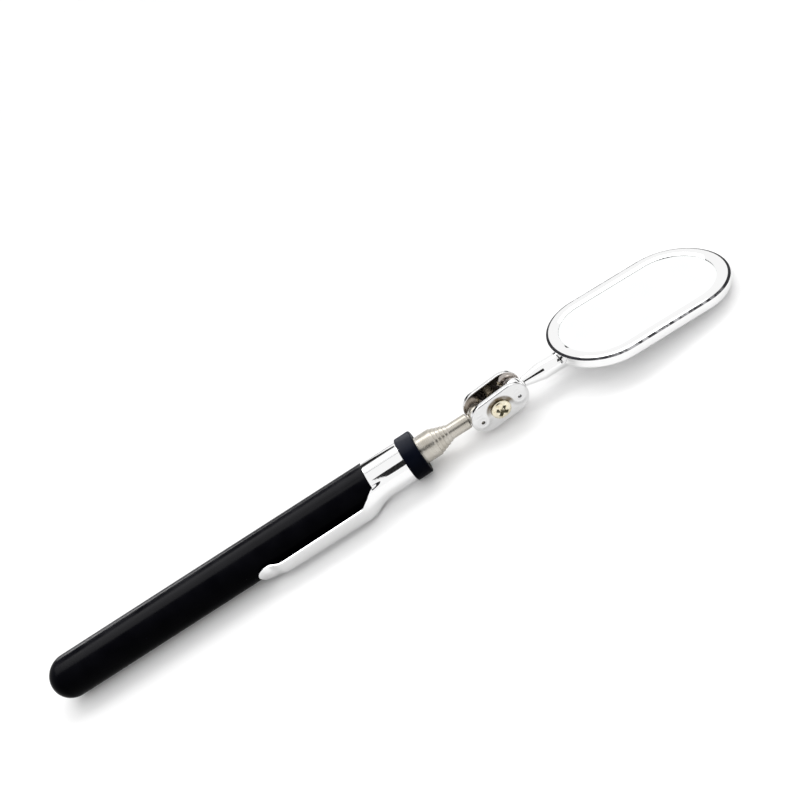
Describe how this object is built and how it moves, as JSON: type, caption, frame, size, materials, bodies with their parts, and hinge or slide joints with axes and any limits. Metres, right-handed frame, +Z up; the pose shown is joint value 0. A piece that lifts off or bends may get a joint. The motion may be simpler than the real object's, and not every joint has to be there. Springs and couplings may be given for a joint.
{
  "type": "telescoping inspection mirror",
  "caption": "Pen-style inspection mirror: vinyl-covered handle with pocket clip, nested telescoping tubes, a two-ball clamp joint and an oblong mirror in a chrome frame.",
  "frame": {"origin": "middle of the object's footprint, on the surface it lies on, with the tool closed", "axes": "+X from the butt of the handle to the mirror, +Z up; the pocket clip and the screw head face -Y"},
  "size_m": [0.24, 0.0346, 0.0142],
  "materials": {
    "vinyl": "smooth black dipped vinyl with a soft sheen",
    "black_plastic": "satin black moulded plastic",
    "chrome": "bright chrome plate",
    "nickel": "satin nickel plate, slightly warm, with fine lines round the tubes",
    "brass": "plain drawn brass",
    "yellow_zinc": "pale yellow zinc plate on steel",
    "mirror_glass": "silvered float glass, clean and flat",
    "pad": "dark closed-cell foam"
  },
  "bodies": {
    "handle": {"grip_sleeve": "vinyl", "handle_tube": "chrome", "butt_plug": "black_plastic", "pocket_clip": "chrome", "end_cap": "black_plastic", "mouth_bush": "brass"},
    "section_1": {"section_1": "nickel", "slide_bush_1": "brass"},
    "section_2": {"section_2": "nickel", "slide_bush_2": "brass"},
    "section_3": {"section_3": "nickel", "slide_bush_3": "brass"},
    "section_4": {"section_4": "nickel", "slide_bush_4": "brass"},
    "section_5": {"section_5": "nickel", "slide_bush_5": "brass"},
    "section_6": {"section_6": "nickel", "slide_bush_6": "brass"},
    "rear_ball": {"rear_ball_stud": "nickel"},
    "clamp": {"clamp_plate_front": "chrome", "clamp_plate_rear": "chrome"},
    "screw": {"clamp_screw": "yellow_zinc"},
    "front_ball": {"front_ball_stud": "chrome"},
    "mirror": {"mirror_stem": "chrome", "mirror_frame": "chrome", "mirror_glass": "mirror_glass", "glass_pad": "pad", "stem_rivet_1": "nickel", "stem_rivet_2": "nickel"}
  },
  "joints": [
    {"name": "section_1_slide", "type": "slide", "parent": "handle", "child": "section_1", "axis": [1, 0, 0], "range_m": [0, 0.11833]},
    {"name": "section_2_slide", "type": "slide", "parent": "section_1", "child": "section_2", "axis": [1, 0, 0], "range_m": [0, 0.11833]},
    {"name": "section_3_slide", "type": "slide", "parent": "section_2", "child": "section_3", "axis": [1, 0, 0], "range_m": [0, 0.11833]},
    {"name": "section_4_slide", "type": "slide", "parent": "section_3", "child": "section_4", "axis": [1, 0, 0], "range_m": [0, 0.11833]},
    {"name": "section_5_slide", "type": "slide", "parent": "section_4", "child": "section_5", "axis": [1, 0, 0], "range_m": [0, 0.11833]},
    {"name": "section_6_slide", "type": "slide", "parent": "section_5", "child": "section_6", "axis": [1, 0, 0], "range_m": [0, 0.11833]},
    {"name": "rear_ball_roll", "type": "hinge", "parent": "section_6", "child": "rear_ball", "pos_m": [0.03431, -0.00386, 0.0071], "axis": [1, 0, 0], "continuous": true},
    {"name": "rear_ball_swing", "type": "hinge", "parent": "rear_ball", "child": "clamp", "pos_m": [0.03431, -0.00386, 0.0071], "axis": [0, 1, 0], "range_deg": [-70, 80]},
    {"name": "clamp_screw_turn", "type": "hinge", "parent": "clamp", "child": "screw", "pos_m": [0.04078, -0.00386, 0.00767], "axis": [0, 1, 0], "range_deg": [-360, 0]},
    {"name": "front_ball_swing", "type": "hinge", "parent": "clamp", "child": "front_ball", "pos_m": [0.04726, -0.00386, 0.00823], "axis": [0, 1, 0], "range_deg": [-86.02, 63.98]},
    {"name": "mirror_roll", "type": "hinge", "parent": "front_ball", "child": "mirror", "pos_m": [0.04726, -0.00386, 0.00823], "axis": [0.9907, 0.0867, -0.1045], "continuous": true}
  ]
}
